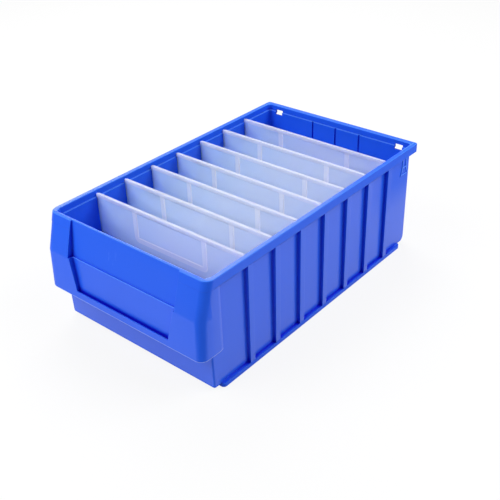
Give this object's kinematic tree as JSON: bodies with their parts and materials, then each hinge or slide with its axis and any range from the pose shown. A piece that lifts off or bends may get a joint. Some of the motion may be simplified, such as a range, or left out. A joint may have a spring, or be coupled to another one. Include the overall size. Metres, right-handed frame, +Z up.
{
  "type": "hanging parts bin",
  "caption": "Deep open-top moulded parts bin with a sloped pull bezel, label recess, slotted ribbed sides, a rear hanging lip and lift-out frosted cross dividers.",
  "frame": {"origin": "middle of the bin's outline, on the plane of the runners' feet", "axes": "+X to the right seen from the bezel, +Y from the bezel to the rear lip, +Z up"},
  "size_m": [0.235, 0.4, 0.14],
  "materials": {
    "blue_plastic": "smooth moulded blue polypropylene with a soft gloss",
    "frosted_plastic": "frosted translucent polypropylene, satin"
  },
  "bodies": {
    "bin": {"bin_body": "blue_plastic"},
    "divider_1_body": {"divider_1": "frosted_plastic"},
    "divider_2_body": {"divider_2": "frosted_plastic"},
    "divider_3_body": {"divider_3": "frosted_plastic"},
    "divider_4_body": {"divider_4": "frosted_plastic"},
    "divider_5_body": {"divider_5": "frosted_plastic"},
    "divider_6_body": {"divider_6": "frosted_plastic"},
    "divider_7_body": {"divider_7": "frosted_plastic"}
  },
  "joints": [
    {"name": "divider_1_lift", "type": "slide", "parent": "bin", "child": "divider_1_body", "axis": [0, 0, 1], "range_m": [0, 0.14]},
    {"name": "divider_2_lift", "type": "slide", "parent": "bin", "child": "divider_2_body", "axis": [0, 0, 1], "range_m": [0, 0.14]},
    {"name": "divider_3_lift", "type": "slide", "parent": "bin", "child": "divider_3_body", "axis": [0, 0, 1], "range_m": [0, 0.14]},
    {"name": "divider_4_lift", "type": "slide", "parent": "bin", "child": "divider_4_body", "axis": [0, 0, 1], "range_m": [0, 0.14]},
    {"name": "divider_5_lift", "type": "slide", "parent": "bin", "child": "divider_5_body", "axis": [0, 0, 1], "range_m": [0, 0.14]},
    {"name": "divider_6_lift", "type": "slide", "parent": "bin", "child": "divider_6_body", "axis": [0, 0, 1], "range_m": [0, 0.14]},
    {"name": "divider_7_lift", "type": "slide", "parent": "bin", "child": "divider_7_body", "axis": [0, 0, 1], "range_m": [0, 0.14]}
  ]
}
